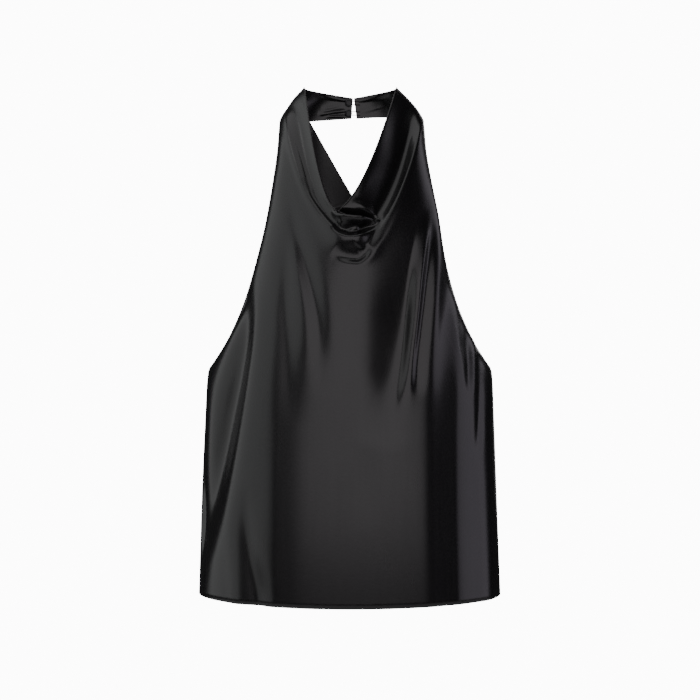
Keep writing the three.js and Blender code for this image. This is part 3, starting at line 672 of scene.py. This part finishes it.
# The neck bands
# Two strips of doubled satin that go on from the shoulder lines, narrow round the neck and end at the nape,
# with the small creases that a narrow doubled strip takes as it turns.
SHOULDER_Z = -26
NECK_Z = 18.5
NAPE_HALF_HEIGHT_MM = 13
NAPE_MIDDLE_Y_MM = 0.75
SHOULDER_GAP_MM = 0.6
BANDS = [
    # name, side, where its end stands at the top and at the bottom, how much its two edges lift
    ("neck_band_left", -1, 3.2, 1.3, 2, 3),
    ("neck_band_right", 1, 5.6, 9, 2, 9),
]
BAND_LENGTH_STEPS = 120
BAND_HEIGHT_STEPS = 60
BAND_THICKNESS = 0.0012
BAND_FOLDS_START_Y = -44
BAND_FOLDS_FULL_Y = -26
BAND_FOLDS = {
    # seen from in front: height is away from the wearer's neck, so ridges on the neck's side are negative
    -1: {
        "upper_ridge": (2.0, [(-46, 16, 0, 3, 3), (-36, 15.5, -0.7, 3, 4), (-22, 12.8, -1.5, 2.2, 4),
                              (-8, 10.8, -1.1, 2, 3), (-2, 10.2, 0, 2, 2)]),
        "middle_ridge": (2.0, [(-38, -1.5, 0, 3, 3), (-28, 0, -0.8, 2.4, 3), (-18, 2.5, -0.6, 2.2, 3),
                               (-10, 4, 0, 2, 2)]),
        "lower_ridge": (2.0, [(-42, -9, 0, 2, 3), (-32, -7.6, -1.3, 1.8, 3.2), (-20, -5, -1.5, 1.8, 3.2),
                              (-9, -3.6, -0.9, 1.6, 3), (-4, -3, 0, 2, 2)]),
        "edge_ridge": (2.0, [(-36, -12.6, 0, 1.6, 2), (-24, -11, -1.0, 1.5, 2), (-10, -10.4, -0.8, 1.5, 2),
                             (-3, -10, 0, 1.5, 1.5)]),
    },
    1: {
        "upper_ridge": (2.0, [(52, 17, 0, 3, 3), (38, 14.6, -1.0, 4, 2.6), (24, 11.6, -1.2, 4, 2.2),
                              (13, 9.8, -0.7, 3, 2), (8, 9, 0, 2, 2)]),
        "lower_ridge": (2.0, [(46, 3, 0, 3, 3), (34, 0, -0.7, 5, 3), (20, -3.4, -0.6, 5, 3),
                              (11, -5, 0, 3, 3)]),
    },
}


def band_surface(side, top_end_x, low_end_x, top_lift, low_lift):
    """Lines that leave the shoulder line straight back and turn a quarter round the neck to the nape, moved
    along their normals by the band's ridges."""
    up = np.linspace(0, 1, BAND_HEIGHT_STEPS + 1)[:, None]
    turn = np.linspace(0, np.pi / 2, BAND_LENGTH_STEPS + 1)[None, :]
    start = edge_point(side, SHOULDER_Z + (NECK_Z - SHOULDER_Z) * up)
    end_x = low_end_x + (top_end_x - low_end_x) * up
    end_z = NAPE_HALF_HEIGHT_MM * (2 * up - 1)
    start_y = start[..., 1] + SHOULDER_GAP_MM
    x = end_x + (start[..., 0] - end_x) * np.cos(turn)
    y = start_y + (NAPE_MIDDLE_Y_MM - start_y) * np.sin(turn)
    lift = (low_lift + (top_lift - low_lift) * up) * np.sin(2 * turn) * np.sin(turn)
    z = start[..., 2] + (end_z - start[..., 2]) * (1 - np.cos(turn)) + lift
    surface = np.stack([x, y, z], axis=-1)
    surface = surface[:, ::-1] if side < 0 else surface
    height = fold_height(BAND_FOLDS[side], surface[..., 0], surface[..., 2])
    clear = smoothstep(surface[..., 1], BAND_FOLDS_START_Y, BAND_FOLDS_FULL_Y)
    return surface + grid_normals(surface) * (height * clear)[..., None]


for band_name, band_side, *band_values in BANDS:
    band = cloth_piece(band_name + "_cloth", band_surface(band_side, *band_values),
                       thickness=BAND_THICKNESS, inner_finish=SATIN_OUTSIDE)
    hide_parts(band_name)

# The buttons
# Two small dished buttons of glossy black plastic whose raised rim face is lighter, metal-like and glossier,
# each sewn by its shank to the end of the left band.
BUTTON_SPOTS = {"button_upper": (-1.6, -0.5, 6.9), "button_lower": (-1.6, -0.5, -6.7)}
BUTTON_PROFILE = [
    # radius and height above the band: shank, back, rim, dish
    (1.3, 0.3), (1.25, 1.2), (1.4, 2.1), (2.2, 2.35), (3.7, 2.35), (4.4, 2.75), (4.5, 3.3), (4.4, 3.9),
    (3.9, 4.3), (3.4, 4.25), (3.05, 3.95), (2.7, 3.8), (1.2, 3.72), (0.02, 3.7),
]
BUTTON_ROUND = 64
BUTTON_BLACK = (0.012, 0.012, 0.013, 1.0)
BUTTON_RIM = (0.030, 0.030, 0.032, 1.0)
# the bright rim begins at the first of these radii and heights, and is full at the second
RIM_RADII = (2.7, 3.3)
RIM_RISES = (2.8, 3.4)


def rounded_line(points, passes=2):
    """A line with its corners cut: each pass puts points at a quarter and three quarters of each length."""
    line = np.array(points, float)
    for _ in range(passes):
        near = line[:-1] * 0.75 + line[1:] * 0.25
        far = line[:-1] * 0.25 + line[1:] * 0.75
        line = np.concatenate([line[:1], np.stack([near, far], axis=1).reshape(-1, line.shape[1]), line[-1:]])
    return line


def tube_piece(name, points, finish, values=None):
    """A closed piece from rings of points in metres, with a flat cap on its first and last ring."""
    rings, round_count = points.shape[:2]
    number = np.arange(rings * round_count).reshape(rings, round_count)
    after = np.roll(number, -1, axis=1)
    faces = np.stack([number[:-1], after[:-1], after[1:], number[1:]], axis=-1).reshape(-1, 4).tolist()
    faces += [number[0, ::-1].tolist(), number[-1].tolist()]
    mesh = bpy.data.meshes.new(name)
    mesh.from_pydata(points.reshape(-1, 3).tolist(), [], faces)
    mesh.polygons.foreach_set("use_smooth", [True] * (len(faces) - 2) + [False] * 2)
    if values is not None:
        bright = mesh.attributes.new("bright", "FLOAT", "POINT")
        bright.data.foreach_set("value", values.astype(np.float32).ravel())
    mesh.materials.append(finish)
    made = bpy.data.objects.new(name, mesh)
    bpy.context.scene.collection.objects.link(made)
    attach(made, "root")
    return made


button_finish = bpy.data.materials.new("button_gloss")
button_finish.use_nodes = True
button_tree = button_finish.node_tree
button_shader = button_tree.nodes["Principled BSDF"]
button_shader.inputs["Coat Weight"].default_value = 0.12
button_shader.inputs["Coat Roughness"].default_value = 0.08
button_shader.inputs["Specular IOR Level"].default_value = 0.3
rim_share = button_tree.nodes.new("ShaderNodeAttribute")
rim_share.attribute_name = "bright"
rim_colour = button_tree.nodes.new("ShaderNodeMix")
rim_colour.data_type = "RGBA"
rim_colour.inputs["A"].default_value = BUTTON_BLACK
rim_colour.inputs["B"].default_value = BUTTON_RIM
rim_gloss = button_tree.nodes.new("ShaderNodeMapRange")
rim_gloss.inputs["To Min"].default_value = 0.42
rim_gloss.inputs["To Max"].default_value = 0.3
button_tree.links.new(rim_share.outputs["Fac"], rim_colour.inputs["Factor"])
button_tree.links.new(rim_share.outputs["Fac"], rim_gloss.inputs["Value"])
button_tree.links.new(rim_share.outputs["Fac"], button_shader.inputs["Metallic"])
button_tree.links.new(rim_colour.outputs["Result"], button_shader.inputs["Base Color"])
button_tree.links.new(rim_gloss.outputs["Result"], button_shader.inputs["Roughness"])

button_line = rounded_line(BUTTON_PROFILE)
radius = button_line[:, :1]
rise = button_line[:, 1:]
button_turn = np.linspace(0, 2 * np.pi, BUTTON_ROUND, endpoint=False)[None, :]
button_rings = np.stack(np.broadcast_arrays(radius * np.cos(button_turn), -rise,
                                            radius * np.sin(button_turn)), axis=-1)
rim = np.broadcast_to(smoothstep(radius, *RIM_RADII) * smoothstep(rise, *RIM_RISES), button_rings.shape[:2])
for button_name, spot in BUTTON_SPOTS.items():
    button = tube_piece(button_name + "_turned", (button_rings + spot) * MM, button_finish, rim)
    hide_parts(button_name)

# The cord loops
# A fine twisted cord for each button, sewn to the end of the right band, that passes round the button's shank
# and back.
CORD_RADIUS = 0.52
CORD_TWIST = 0.09
CORD_TURNS_PER_MM = 0.55
LOOP_HALF_WIDTH = 2.3
LOOP_START_X = 13.0
LOOP_BEND_POINTS = 15
LOOP_RISE = 0.9
LOOP_STEPS = 220
CORD_ROUND = 14


def cord_rings(spot):
    """Rings of two twisted strands: the radius swells twice a turn, and the swelling turns along the cord."""
    bend = np.linspace(np.pi / 2, 3 * np.pi / 2, LOOP_BEND_POINTS)
    path_x = np.concatenate([[LOOP_START_X], spot[0] + LOOP_HALF_WIDTH * np.cos(bend), [LOOP_START_X]])
    path_z = np.concatenate([[LOOP_HALF_WIDTH], LOOP_HALF_WIDTH * np.sin(bend), [-LOOP_HALF_WIDTH]])
    run = np.concatenate([[0], np.cumsum(np.hypot(np.diff(path_x), np.diff(path_z)))])
    place = np.linspace(0, run[-1], LOOP_STEPS)
    x = np.interp(place, run, path_x)
    z = np.interp(place, run, path_z)
    along = np.stack([np.gradient(x), np.zeros_like(x), np.gradient(z)], axis=-1)
    along /= np.linalg.norm(along, axis=-1, keepdims=True)
    out = np.array([0.0, -1.0, 0.0])
    side = np.cross(along, out)
    turn = np.linspace(0, 2 * np.pi, CORD_ROUND, endpoint=False)[None, :]
    radius = CORD_RADIUS + CORD_TWIST * np.cos(2 * turn - 2 * np.pi * CORD_TURNS_PER_MM * place[:, None])
    centre = np.stack([x, np.full_like(x, spot[1] - LOOP_RISE), z + spot[2]], axis=-1)
    around = out * np.cos(turn)[..., None] + side[:, None] * np.sin(turn)[..., None]
    return centre[:, None] + radius[..., None] * around


cord_finish = bpy.data.materials.new("cord")
cord_finish.use_nodes = True
cord_shader = cord_finish.node_tree.nodes["Principled BSDF"]
cord_shader.inputs["Base Color"].default_value = SATIN_LIGHT
cord_shader.inputs["Roughness"].default_value = 0.45
for button_name, spot in BUTTON_SPOTS.items():
    loop_name = button_name.replace("button", "loop")
    loop = tube_piece(loop_name + "_cord", cord_rings(spot) * MM, cord_finish)
    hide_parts(loop_name)
